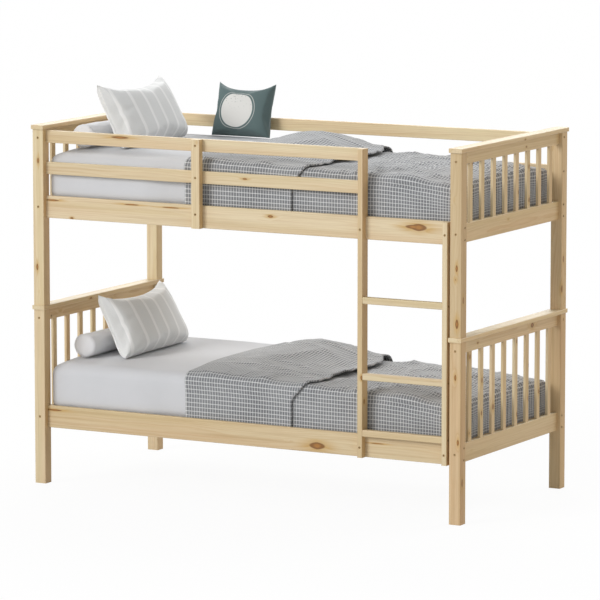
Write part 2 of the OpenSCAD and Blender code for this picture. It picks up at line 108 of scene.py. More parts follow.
class Paint:  # one procedural material, or the sky
    def __init__(self, name, kind="materials"):
        self.material = getattr(bpy.data, kind).new(name)
        self.material.use_nodes = True
        self.tree = self.material.node_tree
        self.tree.nodes.clear()

    def add(self, kind, settings, inputs, output=0):
        node = self.tree.nodes.new(kind)
        for name, value in settings.items():
            setattr(node, name, value)
        pairs = inputs.items() if isinstance(inputs, dict) else enumerate(inputs)
        for key, value in pairs:
            if isinstance(value, Value):
                self.tree.links.new(value.socket, node.inputs[key])
            else:
                node.inputs[key].default_value = value
        return Value(self, node.outputs[output])

    def objectPlace(self):
        place = self.add("ShaderNodeTexCoord", {}, {}, "Object")
        return self.add("ShaderNodeSeparateXYZ", {}, [place]).parts()

    def clothPlace(self):  # metres along the cut cloth
        place = self.add("ShaderNodeUVMap", {"uv_map": "cut"}, {})
        return self.add("ShaderNodeSeparateXYZ", {}, [place]).parts()[:2]

    def point(self, x, y, z=0.0):
        return self.add("ShaderNodeCombineXYZ", {}, [x, y, z])

    def cloud(self, place, scale=1.0, detail=2.0):
        return self.add("ShaderNodeTexNoise", {}, {"Vector": place, "Scale": scale, "Detail": detail})

    def cells(self, place, scale, randomness):
        settings = {"feature": "F1"}
        inputs = {"Vector": place, "Scale": scale, "Randomness": randomness}
        return self.add("ShaderNodeTexVoronoi", settings, inputs)

    def blend(self, share, first, second, how="MIX"):
        settings = {"data_type": "RGBA", "blend_type": how}
        return self.add("ShaderNodeMix", settings, {0: share, 6: first, 7: second}, 2)

    def bump(self, height, distance, strength):
        inputs = {"Strength": strength, "Distance": distance, "Height": height}
        return self.add("ShaderNodeBump", {}, inputs)

    def finish(self, inputs):
        shader = self.add("ShaderNodeBsdfPrincipled", {}, inputs)
        output = self.tree.nodes.new("ShaderNodeOutputMaterial")
        self.tree.links.new(shader.socket, output.inputs[0])
        return self.material


def tint(code, light=1.0):  # "#rrggbb" as the linear colour that the shaders use
    channels = [int(code[i:i + 2], 16) / 255 for i in (1, 3, 5)]
    linear = [c / 12.92 if c < 0.04045 else ((c + 0.055) / 1.055) ** 2.4 for c in channels]
    return (*[min(1.0, c * light) for c in linear], 1.0)


# The camera

camera = {
    "place": (8.887, -16.212, 3.383),
    "turn": 28.72,
    "down": 7.98,
    "lens": 265.7,
    "sensor": 36.0,
    "farthest": 400.0,
}


def makeCamera():
    data = bpy.data.cameras.new("camera")
    data.lens = camera["lens"]
    data.sensor_width = camera["sensor"]
    data.clip_end = camera["farthest"]
    body = bpy.data.objects.new("camera", data)
    body.location = camera["place"]
    body.rotation_euler = (math.radians(90 - camera["down"]), 0, math.radians(camera["turn"]))
    scene.collection.objects.link(body)
    scene.camera = body


makeCamera()
print("camera placed")


# Pine: growth rings round a pith beside each board, fine fibres, and knots that push the rings aside

pine = {
    "early": "#e0d0ad",
    "late": "#bd9a66",
    "blush": "#d6b48e",
    "straw": "#cdb988",
    "knotRim": "#74480f",
    "knotHeart": "#a26a22",
    "knotHalo": "#c79c4e",
    "alongBedPaintedShade": (0.97, 0.845, 0.68, 1.0),  # painted shade: the faces that look along the bed are made deeper in tone, standing in for the shade on them
    "ring": 0.0062,  # width of a year's growth
    "wander": 0.05,  # how far the rings wander across the board
    "ripple": 0.004,
    "knotPush": 0.009,  # how far a knot pushes the rings aside
    "pithAcross": 0.035,
    "pithDeep": (0.018, 0.05),
    "cells": 17.0,  # per metre; a share of them holds a small knot, fewer on boards along the bed
    "knotShare": {"X": 0.09, "Y": 0.3, "Z": 0.3},
    "noKnot": 40.0,
}

# Colour multipliers, red, green and blue, for boards made lighter or darker than the rest. The back guard
# rail's top is lightened as painted light, against the shade that the front guards cast on it; the
# right-hand posts are made darker and warmer
boardTonesAndPaintedLight = {
    "upper_post_front_right": (0.81, 0.74, 0.66),
    "lower_post_front_right": (0.88, 0.80, 0.72),
    "upper_post_back_right": (0.90, 0.84, 0.76),
    "lower_post_back_right": (0.88, 0.80, 0.70),
    "lower_side_rail_front": (0.95, 0.91, 0.86),
    "lower_side_rail_back": (0.95, 0.91, 0.86),
    "ladder_stile_left": (0.98, 0.94, 0.90),
    "upper_side_rail_front": (1.02, 1.01, 1.02),
    "back_guard_rail_top": (1.12, 1.13, 1.10),
}

# Knots that go through a board: (along, across, radius, stretch). On posts and slats a knot has
# a depth too: (along, across, deep, radius, stretch)
boardKnots = {
    "upper_side_rail_front": [
        (0.806, 1.198, 0.0140, 2.4), (0.782, 1.199, 0.0080, 4.2), (0.123, 1.203, 0.005, 2.5),
        (-0.540, 1.214, 0.0028, 12.0), (-0.350, 1.212, 0.0024, 16.0), (-0.925, 1.211, 0.0035, 8.0)],
    "lower_side_rail_front": [
        (0.3415, 0.2680, 0.0140, 2.4), (-0.925, 0.316, 0.0038, 9.0), (0.62, 0.300, 0.002, 14.0)],
    "front_guard_rail_top": [(-0.595, 1.4925, 0.0050, 8.0)],
    "front_guard_rail_low": [(0.003, 1.351, 0.0035, 3.0)],
    "lower_end_top_rail_right": [(0.199, 0.728, 0.0095, 1.4)],
    "lower_end_top_rail_left": [(0.080, 0.716, 0.007, 2.3)],
    "upper_post_front_right": [
        (0.820, 0.991, -0.492, 0.007, 2.6), (1.045, 0.989, -0.492, 0.005, 2.6),
        (0.915, 1.010, -0.474, 0.005, 2.6)],
    "lower_post_front_right": [
        (0.602, 0.985, -0.492, 0.0045, 2.6), (0.338, 0.998, -0.492, 0.0045, 2.6),
        (0.172, 1.010, -0.476, 0.006, 2.6)],
    "upper_post_front_left": [(1.378, -0.983, -0.492, 0.0045, 2.6), (0.926, -0.991, -0.492, 0.005, 2.6)],
    "upper_post_back_right": [(0.851, 1.010, 0.450, 0.006, 2.6), (0.976, 1.010, 0.462, 0.005, 2.6)],
    "lower_end_slats_right": [
        (0.673, 0.992, -0.375, 0.0065, 1.5), (0.561, 0.992, -0.264, 0.0055, 1.8),
        (0.437, 0.992, -0.161, 0.0075, 1.5), (0.426, 0.992, -0.267, 0.0055, 1.6),
        (0.679, 0.992, 0.058, 0.0050, 1.6), (0.373, 0.992, 0.064, 0.0060, 1.6),
        (0.564, 0.992, 0.171, 0.0045, 1.8), (0.425, 0.992, 0.173, 0.0070, 1.8),
        (0.440, 0.992, 0.271, 0.0055, 1.6)],
    "upper_end_slats_right": [
        (1.394, 0.992, 0.161, 0.0055, 1.6), (1.255, 0.992, 0.164, 0.0060, 1.6),
        (1.458, 0.992, -0.358, 0.0060, 1.6)],
}


def boardAxes(name):  # as 0, 1 and 2 for X, Y and Z: along the grain, across the broad face, and deep
    if any(word in name for word in ("post", "end_slats", "stile", "upright")):
        return 2, 0, 1
    if any(word in name for word in ("cap", "end_rail", "end_top", "bed_slats")):
        return (1, 2, 0) if "end_" in name else (1, 0, 2)
    return 0, 2, 1


def knotPattern(paint, name, share, shift, length, across, deep):  # 1 at a knot's rim, less inside it
    spots = paint.cells(paint.point(length * 0.55 + shift, across, deep), pine["cells"], 1.0)
    distance, colour = spots.parts()[:2]
    chosen, strength = paint.add("ShaderNodeSeparateXYZ", {}, [colour]).parts()[:2]
    knot = distance / (0.05 + 0.06 * strength) + (chosen - share).step(-0.001, 0.001) * pine["noKnot"]
    for place in boardKnots.get(name, []):
        size, stretch = place[-2:]
        reachAlong = ((length - place[0]) / (stretch * size)).size()
        reachAcross = (across - place[1]) / size
        near = reachAlong ** 1.5 + reachAcross * reachAcross
        if len(place) == 5:
            reachDeep = (deep - place[2]) / size
            near = near + reachDeep * reachDeep
        knot = knot.least(near ** 0.5)
    return knot


def lateWood(paint, knot, wander, shift, pith, length, across, deep):  # the dark part of each ring
    ripple = paint.cloud(paint.point(length * 7 + shift, across * 40, deep * 40)) - 0.5
    pushed = 2.718 ** (-0.16 * knot * knot)
    offAcross = across - pith[0] + wander * pine["wander"]
    offDeep = deep - pith[1]
    radius = (offAcross * offAcross + offDeep * offDeep) ** 0.5
    radius = radius + ripple * pine["ripple"] + pushed * pine["knotPush"]
    ring = (radius / pine["ring"] + wander * 3.0).fraction()
    return ring ** 2.6 * (1 - ring.step(0.9, 1.0))


def pineMaterial(name):
    axes = boardAxes(name)
    low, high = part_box(name)
    chance = random.Random(name)
    paint = Paint("pine_" + name)
    places = paint.objectPlace()
    length, across, deep = [places[axis] for axis in axes]
    middle = [(low[axis] + high[axis]) / 2 for axis in axes]
    shift = chance.uniform(0, 40)
    pithAcross = middle[1] + chance.uniform(-pine["pithAcross"], pine["pithAcross"])
    pithDeep = middle[2] + chance.choice((-1, 1)) * chance.uniform(*pine["pithDeep"])
    tone = chance.uniform(0.96, 1.03)

    knot = knotPattern(paint, name, pine["knotShare"]["XYZ"[axes[0]]], shift, length, across, deep)
    wander = paint.cloud(paint.point(length * 1.3 + shift, across * 7, deep * 7)) - 0.5
    late = lateWood(paint, knot, wander, shift, (pithAcross, pithDeep), length, across, deep)
    patch = paint.cloud(paint.point(length * 0.9 + shift, across * 11, deep * 11), detail=3.0)
    patch = patch.step(0.35, 0.75)
    fibre = paint.cloud(paint.point(length * 9 + shift, across * 420, deep * 420))
    streak = paint.cloud(paint.point(length * 1.6 + shift, across * 90, deep * 90), detail=3.0)
    straw = paint.cloud(paint.point(length * 0.7 - shift, across * 26, deep * 26)).step(0.4, 0.75)

    wood = paint.blend(late * (0.25 + 0.5 * patch), tint(pine["early"], tone), tint(pine["late"], tone))
    wood = paint.blend(patch * 0.45, wood, tint(pine["blush"], tone))
    wood = paint.blend(straw * 0.5, wood, tint(pine["straw"], tone))
    wood = paint.blend(streak.step(0.45, 0.8) * 0.35, wood, tint(pine["late"], tone * 0.8))
    wood = paint.blend(fibre.step(0.3, 0.7) * 0.14, wood, tint(pine["late"], 0.7))
    # board tones, with painted light on the back guard rail's top
    wood = paint.blend(1.0, wood, (*boardTonesAndPaintedLight.get(name, (1, 1, 1)), 1), "MULTIPLY")
    # painted shade: faces whose normal points along the bed (X) are made darker and warmer
    normal = paint.add("ShaderNodeNewGeometry", {}, {}, "Normal")
    alongBedShadeMask = paint.add("ShaderNodeSeparateXYZ", {}, [normal]).size()
    wood = paint.blend(alongBedShadeMask.step(0.5, 0.9), wood, pine["alongBedPaintedShade"], "MULTIPLY")

    rim = knot.step(0.3, 0.8)
    heart = paint.blend(rim * 0.9, tint(pine["knotHeart"]), tint(pine["knotRim"]))
    inside = 1 - knot.step(0.92, 1.18)
    halo = (1 - knot.step(1.0, 2.8)) * (0.5 + 0.4 * late)
    wood = paint.blend(halo, wood, tint(pine["knotHalo"], 0.9))
    wood = paint.blend(inside * 0.93, wood, heart)
    return paint.finish({
        "Base Color": wood,
        "Roughness": 0.44 + 0.12 * fibre + 0.05 * late,
        "Normal": paint.bump(fibre * 0.5 + late * 0.5 + inside * 0.4, 0.0006, 0.35),
        "Coat Weight": 0.1,
        "Coat Roughness": 0.3,
    })


steel = {"colour": "#b39a72", "rough": 0.5, "mottle": 900.0}
webbing = {"light": "#dcd8cb", "dark": "#b8b3a4", "thread": 3140.0}


def steelMaterial():
    paint = Paint("bronzed_zinc")
    x, y, z = paint.objectPlace()
    cloud = paint.cloud(paint.point(x, y, z), steel["mottle"], 3.0)
    colour = paint.blend(cloud.step(0.3, 0.7) * 0.5, tint(steel["colour"]), tint(steel["colour"], 0.55))
    return paint.finish({
        "Base Color": colour,
        "Metallic": 1.0,
        "Roughness": steel["rough"] + cloud * 0.2,
        "Normal": paint.bump(cloud, 0.0001, 0.4),
    })


def webbingMaterial():
    paint = Paint("slat_webbing")
    x, y, z = paint.objectPlace()
    threads = (x * webbing["thread"]).wave() * (y * webbing["thread"]).wave()
    colour = paint.blend(threads.step(-0.6, 0.6), tint(webbing["dark"]), tint(webbing["light"]))
    return paint.finish({
        "Base Color": colour,
        "Roughness": 0.85,
        "Normal": paint.bump(threads, 0.0003, 0.6),
    })


steelPaint = steelMaterial()
webbingPaint = webbingMaterial()
steelWords = ("bolts", "nuts", "screws", "stacking_pins")
bedding = ("mattress", "blanket", "bolster", "pillow", "cushion")


def dressNode(name, node):
    if any(word in name for word in bedding):
        return
    if any(word in name for word in steelWords):
        material = steelPaint
    elif name == "slat_straps":
        material = webbingPaint
    else:
        material = pineMaterial(name)
    node.data.materials.clear()
    node.data.materials.append(material)


for nodeName, node in nodes.items():
    dressNode(nodeName, node)
print("timber and fixings finished")


# Cloth finishes

cloth = {
    "sheet": "#cfd0d3",
    "bolster": "#e8e8ea",
    "stripeGround": "#e2e3e2",
    "stripe": "#f8f8f7",
    "stripePitch": 0.088,
    "stripeWidth": 0.017,
    "checkGround": "#828487",
    "checkDark": "#6b6d71",
    "checkLine": "#e2e3e3",
    "checkPitch": (0.0127, 0.0166),
    "checkWidth": (0.0027, 0.0031),
    "sage": "#5c6f6f",
    "offWhite": "#dddcd8",
    "speck": "#8c8f8c",
    "thread": 0.0012,
    "stripePhase": 0.955,
    "disc": (0.154, 0.116, 0.080),  # its middle on the cut cloth, and its radius
    "ringGap": 0.010,  # from the disc to the thin ring round it
    "ringHalf": (0.0012, 0.0022),
    "speckCells": 95.0,
}


def weave(u, v, pitch):
    turns = 2 * math.pi / pitch
    return (u * turns).wave() * (v * turns).wave()


def plainCloth(name, colour, shade):
    paint = Paint(name)
    x, y, z = paint.objectPlace()
    soft = paint.cloud(paint.point(x, y, z), 9.0, 3.0)
    slub = paint.cloud(paint.point(x * 60, y * 900, z * 900))
    fine = weave(x + y, z + y * 0.5, cloth["thread"])
    base = paint.blend(soft.step(0.35, 0.75) * 0.35, tint(colour), tint(colour, shade))
    base = paint.blend(slub.step(0.45, 0.8) * 0.12, base, tint(colour, shade * 0.9))
    relief = paint.bump(fine * 0.2 + slub * 0.6, 0.0004, 0.5)
    return paint.finish({"Base Color": base, "Roughness": 0.88, "Normal": relief, "Sheen Weight": 0.15})


def stripedCotton():
    paint = Paint("striped_cotton")
    u, v = paint.clothPlace()
    drift = paint.cloud(paint.point(u * 3, v * 3)) - 0.5
    phase = ((u + drift * 0.003) / cloth["stripePitch"] + cloth["stripePhase"]).fraction()
    half = cloth["stripeWidth"] / cloth["stripePitch"] / 2
    stripe = 1 - (phase - 0.5).size().step(half * 0.7, half * 1.3)
    slub = paint.cloud(paint.point(u * 1400, v * 60))
    cross = paint.cloud(paint.point(u * 60, v * 1400))
    soft = paint.cloud(paint.point(u * 9, v * 9), detail=3.0)
    ground = paint.blend(soft * 0.4, tint(cloth["stripeGround"], 1.05), tint(cloth["stripeGround"], 0.88))
    ground = paint.blend(slub.step(0.4, 0.8) * 0.3, ground, tint(cloth["stripeGround"], 0.78))
    base = paint.blend(stripe * 0.9, ground, tint(cloth["stripe"]))
    base = paint.blend(cross.step(0.5, 0.8) * 0.15, base, tint(cloth["stripe"]))
    relief = paint.bump(slub * 0.6 + cross * 0.6 + stripe * 0.4, 0.0006, 0.6)
    return paint.finish({"Base Color": base, "Roughness": 0.9, "Normal": relief, "Sheen Weight": 0.2})


def checkedWool():
    paint = Paint("checked_blanket")
    u, v = paint.clothPlace()
    lines = []
    for place, pitch, width in zip((u, v), cloth["checkPitch"], cloth["checkWidth"]):
        half = width / pitch / 2
        lines.append(1 - ((place / pitch).fraction() - 0.5).size().step(half * 0.6, half * 1.5))
    lineU, lineV = lines
    grid = lineU.most(lineV)
    cross = lineU * lineV
    soft = paint.cloud(paint.point(u * 6, v * 6), detail=4.0)
    yarn = paint.cloud(paint.point(u * 700, v * 700))
    ground = paint.blend(soft.step(0.3, 0.7), tint(cloth["checkGround"]), tint(cloth["checkDark"]))
    ground = paint.blend(yarn.step(0.45, 0.75) * 0.35, ground, tint(cloth["checkLine"], 0.6))
    worn = 0.7 + 0.6 * paint.cloud(paint.point(u * 55, v * 55))
    base = paint.blend((grid * 0.62 + cross * 0.3) * worn, ground, tint(cloth["checkLine"]))
    relief = paint.bump(grid * 0.5 + yarn * 0.5 - cross * 0.2, 0.0012, 0.7)
    return paint.finish({"Base Color": base, "Roughness": 0.95, "Normal": relief, "Sheen Weight": 0.25})


def printedCotton():  # a plain ground with one pale disc, speckled towards its top
    paint = Paint("cushion_print")
    u, v = paint.clothPlace()
    middleU, middleV, radius = cloth["disc"]
    offU = u - middleU
    offV = v - middleV
    out = (offU * offU + offV * offV) ** 0.5
    disc = 1 - out.step(radius - 0.001, radius + 0.001)
    cell = paint.cells(paint.point(u, v), cloth["speckCells"], 0.6)
    speck = (1 - cell.step(0.16, 0.24)) * offV.step(-0.01, 0.05)
    ring = 1 - (out - radius - cloth["ringGap"]).size().step(*cloth["ringHalf"])
    slub = paint.cloud(paint.point(u * 900, v * 900))
    ground = paint.blend(slub.step(0.4, 0.7) * 0.3, tint(cloth["sage"]), tint(cloth["sage"], 0.8))
    ground = paint.blend(ring * 0.6, ground, tint(cloth["offWhite"]))
    light = paint.blend(speck * 0.8, tint(cloth["offWhite"]), tint(cloth["speck"]))
    base = paint.blend(disc, ground, light)
    relief = paint.bump(slub, 0.0004, 0.5)
    return paint.finish({"Base Color": base, "Roughness": 0.9, "Normal": relief, "Sheen Weight": 0.2})


sheetPaint = plainCloth("fitted_sheet", cloth["sheet"], 0.93)
bolsterPaint = plainCloth("bolster_cover", cloth["bolster"], 0.94)
stripePaint = stripedCotton()
checkPaint = checkedWool()
printPaint = printedCotton()
print("cloth finishes made")


def newPiece(name, shape, material):
    mesh = bpy.data.meshes.new(name)
    shape.to_mesh(mesh)
    shape.free()
    for face in mesh.polygons:
        face.use_smooth = True
    piece = bpy.data.objects.new(name, mesh)
    piece.data.materials.append(material)
    scene.collection.objects.link(piece)
    return piece


def copyPiece(piece, name, lift):
    twin = bpy.data.objects.new(name, piece.data.copy())
    twin.data.transform(Matrix.Translation((0, 0, lift)))
    scene.collection.objects.link(twin)
    for modifier in piece.modifiers:
        extra = twin.modifiers.new(modifier.name, modifier.type)
        if modifier.type == "SUBSURF":
            extra.levels = extra.render_levels = modifier.levels
        if modifier.type == "SOLIDIFY":
            extra.thickness = modifier.thickness
            extra.thickness_vertex_group = modifier.thickness_vertex_group
            extra.offset = modifier.offset
    return twin


# Mattress in its fitted sheet: a crowned block with soft edges and a few faint pulls in the cloth

mattress = {
    "edge": 0.050,
    "segments": 7,
    "square": 30,  # how square the upright corners are, as the power of their curve
    "headSquare": 2.8,  # and the top edge at the head end
    "bulge": 0.0122,  # of the sides near the head
    "bulgeSpan": (-0.36, -0.50),
    "headBulge": 0.0020,
    "headSpan": (-0.8, -0.9),
    "crown": 0.005,
    "side": 0.018,  # how far the top's side edges lie below its middle
    "sideCurve": 2.5,
    "footSide": 0.036,  # and more so towards the foot, at the front
    "backSide": 0.0445,  # and at the back
    "backSpan": (-0.35, 0.25),
    "ends": 0.006,
    "endCurve": 14,
    "footFall": 0.027,  # the whole foot half lies lower under the blanket
    "fallSpan": (-0.10, 0.32),
    "footDip": 0.028,  # and dips at its very end
    "dipCurve": 8,
    "grid": 0.022,
    "pull": 0.0018,
}

mattressLow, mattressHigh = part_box("lower_mattress")
mattressHalf = (mattressHigh - mattressLow) / 2
mattressMiddle = (mattressHigh + mattressLow) / 2


def smoothStep(low, high, x):
    t = min(1.0, max(0.0, (x - low) / (high - low)))
    return t * t * (3 - 2 * t)


def bedSink(x, y):  # how far the soft top lies below the flat level
    across = abs(y) / mattressHalf.y
    along = (x - mattressMiddle.x) / mattressHalf.x
    towardsFoot = 0.35 * smoothStep(-0.3, 0.6, x) + 0.65 * smoothStep(0.6, 0.95, x)
    front = mattress["side"] + mattress["footSide"] * towardsFoot
    back = 0.2 * mattress["side"] + mattress["backSide"] * smoothStep(*mattress["backSpan"], x)
    back += 0.45 * mattress["footSide"] * smoothStep(0.5, 0.9, x)
    side = front + (back - front) * smoothStep(-0.2, 0.2, y)
    ends = mattress["ends"] * abs(along) ** mattress["endCurve"]
    ends += mattress["footDip"] * max(0.0, along) ** mattress["dipCurve"] * max(0.0, 1 - across ** 4)
    fall = mattress["footFall"] * smoothStep(*mattress["fallSpan"], x)
    edge = across ** mattress["sideCurve"]
    return side * edge + fall * (1 - edge) + ends - mattress["crown"]


def squareCorner(vert, axis, other, exponent):  # moves the round of one edge out towards a square one
    flat = [mattressHalf[i] - mattress["edge"] for i in (axis, other)]
    out = [abs(vert.co[i]) - reach for i, reach in zip((axis, other), flat)]
    if min(out) > 0:
        grown = math.hypot(*out) / (out[0] ** exponent + out[1] ** exponent) ** (1 / exponent)
        for i, reach, beyond in zip((axis, other), flat, out):
            vert.co[i] = math.copysign(reach + beyond * grown, vert.co[i])


def softBlock():  # a box with round edges, cut into small cells
    size = 2 * mattressHalf
    shape = bmesh.new()
    bmesh.ops.create_cube(shape, size=1.0)
    bmesh.ops.scale(shape, vec=size, verts=shape.verts)
    bmesh.ops.bevel(shape, geom=shape.edges[:], offset=mattress["edge"], segments=mattress["segments"],
                    profile=0.5, affect="EDGES", material=-1)
    for axis in range(3):
        reach = size[axis] / 2 - mattress["edge"]
        count = max(2, int(2 * reach / mattress["grid"]))
        normal = Vector([1.0 if i == axis else 0.0 for i in range(3)])
        for i in range(1, count):
            spot = normal * (-reach + 2 * reach * i / count)
            everything = shape.verts[:] + shape.edges[:] + shape.faces[:]
            bmesh.ops.bisect_plane(shape, geom=everything, dist=1e-6, plane_co=spot, plane_no=normal)
    shape.normal_update()
    return shape


def mattressShape(lift):
    shape = softBlock()
    for vert in shape.verts:
        squareCorner(vert, 0, 1, mattress["square"])
        if vert.co.x < 0:
            squareCorner(vert, 0, 2, mattress["headSquare"])
        place = vert.co + mattressMiddle
        height = vert.co.z / mattressHalf.z
        u, v = vert.co.x / mattressHalf.x, vert.co.y / mattressHalf.y
        pull = noise.noise(Vector((place.x * 2.5, place.y * 7, place.z * 6 + lift))) * mattress["pull"]
        corner = abs(u) ** 8 + abs(v) ** 8
        fine = noise.noise(Vector((place.x * 26, place.y * 26, place.z * 3 + 7 + lift)))
        pull += abs(fine) * mattress["pull"] * 0.9 * min(1.0, corner) * (1 - abs(height) ** 4)
        sunk = bedSink(place.x, place.y) * smoothStep(-0.6, 0.9, height)
        vert.co = place + vert.normal * (pull - mattress["pull"]) - Vector((0, 0, sunk - lift))
        if abs(v) > 0.5:
            vert.co.y += math.copysign(mattress["bulge"], v) * smoothStep(*mattress["bulgeSpan"], place.x)
        vert.co.x -= mattress["headBulge"] * smoothStep(*mattress["headSpan"], place.x)
    return shape


def makeMattress(level, lift):
    node = level + "_mattress"
    piece = newPiece(level + "_fitted_mattress", mattressShape(lift), sheetPaint)
    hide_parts(node)
    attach(piece, node)


makeMattress("lower", 0.0)
makeMattress("upper", bedRise)
print("mattresses made")


# Stuffed covers: a full cushion form whose cover is a little too large for it, so that a cloth
# simulation blows it up and leaves soft creases

def power(value, exponent):
    return max(0.0, value) ** exponent


def crowd(share, cut):  # the cells are smaller towards the seams, where the cover turns most
    return share + cut["crowd"] * share * (1 - share * share)


def fullness(u, cut):
    return power(1 - abs(u) ** cut["round"][0], cut["round"][1])


def frontSpot(share, cut):  # a point of the front's middle line: along the seams, and out
    u = crowd(share, cut)
    return Vector((u * cut["width"] / 2, cut["thick"] * cut["front"] * fullness(u, cut)))


def coverPlace(share, rise, isBack, cut):
    u, v = crowd(share, cut), crowd(rise, cut)
    low = cut["belly"]
    warped = (v - low) / (1 - low) if v > low else (v - low) / (1 + low)
    full = fullness(u, cut) * power(1 - abs(warped) ** 3.2, 0.6)
    x = u * cut["width"] / 2 * (1 - cut["sidePull"] * (1 - abs(v) ** 2.5))
    y = v * cut["height"] / 2
    if v > 0:
        y -= cut["topPull"] * v ** 3 * (1 - abs(u) ** 2.2)
    else:
        y -= cut["sag"] * (-v) ** 3 * (1 - abs(u) ** 4)
    deep = cut["thick"] * full * (cut["front"] - 1 if isBack else cut["front"])
    return Vector((x, y, deep - cut["bow"] * power(1 - v * v, 1) * abs(u) ** 3))


def coverShape(cut):  # a front and a back, sewn together round their rims
    shape = bmesh.new()
    across, up = round(cut["width"] / cut["spacing"]), round(cut["height"] / cut["spacing"])
    bmesh.ops.create_grid(shape, x_segments=across, y_segments=up, size=1.0)
    lengths = [0.0]
    for column in range(across):
        start, end = [frontSpot((column + i) * 2 / across - 1, cut) for i in (0, 1)]
        lengths.append(lengths[-1] + (end - start).length)
    layer = shape.loops.layers.uv.new("cut")
    for face in shape.faces:
        for loop in face.loops:
            column = round((loop.vert.co.x + 1) * across / 2)
            loop[layer].uv = (lengths[column], (crowd(loop.vert.co.y, cut) + 1) * cut["height"] / 2)
    twin = bmesh.ops.duplicate(shape, geom=shape.verts[:] + shape.edges[:] + shape.faces[:])["geom"]
    backFaces = [part for part in twin if isinstance(part, bmesh.types.BMFace)]
    backVerts = {part for part in twin if isinstance(part, bmesh.types.BMVert)}
    bmesh.ops.reverse_faces(shape, faces=backFaces)
    for face in backFaces:  # they come from another part of the cloth, so a printed disc is on the front
        for loop in face.loops:
            loop[layer].uv.y += 1.0
    for vert in shape.verts:
        vert.co = coverPlace(vert.co.x, vert.co.y, vert in backVerts, cut)
    rims = [vert for vert in shape.verts if vert.is_boundary]
    bmesh.ops.remove_doubles(shape, verts=rims, dist=1e-5)
    return shape


def inflate(piece, cut):
    start = [vert.co.copy() for vert in piece.data.vertices]
    cover = piece.modifiers.new("cloth", "CLOTH")
    settings = cover.settings
    settings.quality = 5
    settings.mass = 0.2
    settings.tension_stiffness = settings.compression_stiffness = cut["stiff"]
    settings.shear_stiffness = cut["stiff"] * 0.4
    settings.bending_stiffness = cut["bend"]
    settings.tension_damping = settings.compression_damping = 10
    settings.shrink_min = -cut["slack"]
    settings.use_pressure = True
    settings.uniform_pressure_force = cut["push"]
    settings.effector_weights.gravity = 0
    cover.collision_settings.use_collision = False
    cover.point_cache.frame_end = cut["frames"]
    for moment in range(1, cut["frames"] + 1):
        scene.frame_set(moment)
    graph = bpy.context.evaluated_depsgraph_get()
    shown = piece.evaluated_get(graph)
    settled = bpy.data.meshes.new_from_object(shown, preserve_all_data_layers=True, depsgraph=graph)
    piece.modifiers.remove(cover)
    piece.data = settled
    scene.frame_set(1)
    for vert, before in zip(settled.vertices, start):
        moved = vert.co - before
        if moved.length > cut["cap"]:
            vert.co = before + moved * (cut["cap"] / moved.length)


def crease(piece, cut):  # pulls from the corners and small crumples, pressed into the settled cover
    for vert in piece.data.vertices:
        u, v = vert.co.x / (cut["width"] / 2), vert.co.y / (cut["height"] / 2)
        side = 1 if vert.normal.z >= 0 else -1
        corner = Vector((math.copysign(1, u) - u, math.copysign(1, v) - v))
        angle = math.atan2(corner.y, corner.x)
        reach = math.hypot(corner.x, corner.y)
        pulled = math.sin(angle * 14 + side) * math.exp(-((reach - 0.35) / 0.28) ** 2)
        crumple = noise.noise(Vector((vert.co.x * 34, vert.co.y * 34, side * 3 + cut["width"] * 9)))
        soft = noise.noise(Vector((vert.co.x * 11, vert.co.y * 14, side * 5)))
        depth = cut["crumple"] * (0.5 * pulled + 0.6 * crumple * abs(u) ** 1.5 + 0.9 * soft)
        dent = 0.0
        if side > 0:
            for across, height, length, deep in cut["dents"]:
                away = (v - height - 0.30 * (u - across)) / 0.06
                along = smoothStep(across + length, across, abs(u - across) + across)
                dent -= deep * math.exp(-away * away) * along
        edge = power((1 - u * u) * (1 - v * v), 0.3)
        vert.co.z += side * (depth + dent) * min(1.0, edge)


def stuffedCover(name, cut, material):
    piece = newPiece(name, coverShape(cut), material)
    inflate(piece, cut)
    crease(piece, cut)
    smooth = piece.modifiers.new("smooth", "SUBSURF")
    smooth.levels = smooth.render_levels = 1
    return piece


pressing = {"zone": 0.004, "lip": 0.0006, "steep": 300, "spread": 0.12}


def standOn(piece, turn, place, floorHeight, settle):
    piece.data.transform(Matrix.Translation(Vector(place) - Vector((0, 0, settle))) @ turn)
    for vert in piece.data.vertices:  # pressed flat where it stands on the soft bed
        vert.co.z -= bedSink(vert.co.x, vert.co.y) * smoothStep(0.16, 0.02, vert.co.z - floorHeight)
        below = floorHeight - bedSink(vert.co.x, vert.co.y) - vert.co.z
        if below > -pressing["zone"]:
            press = max(0.0, below)
            vert.co.z += below + pressing["lip"] * math.exp(min(0.0, -below * pressing["steep"]))
            outward = (vert.co - Vector(place)).xy
            if outward.length > 0:
                vert.co.xy += outward.normalized() * press * pressing["spread"]


pillow = {
    "width": 0.552, "height": 0.306, "thick": 0.126, "spacing": 0.0100, "crowd": 0.35,
    "front": 0.62, "round": (3.2, 0.72), "bow": 0.006, "settle": 0.006,
    "belly": -0.42, "sidePull": 0.010, "topPull": 0.038, "sag": 0.011,
    "push": 4.0, "frames": 18, "stiff": 14, "bend": 0.25, "slack": 0.035, "cap": 0.012,
    "crumple": 0.0034, "dents": [(-0.80, 0.0, 0.26, 0.010)],
    "foot": (-0.688, -0.014), "lean": 27.0, "yaw": 1.6,
}

# Turns a cover's width along Y and its face towards +X
standing = Matrix(((0, 0, 1, 0), (1, 0, 0, 0), (0, 1, 0, 0), (0, 0, 0, 1)))
bedGap = 0.0015  # from the bed's top to what stands on it


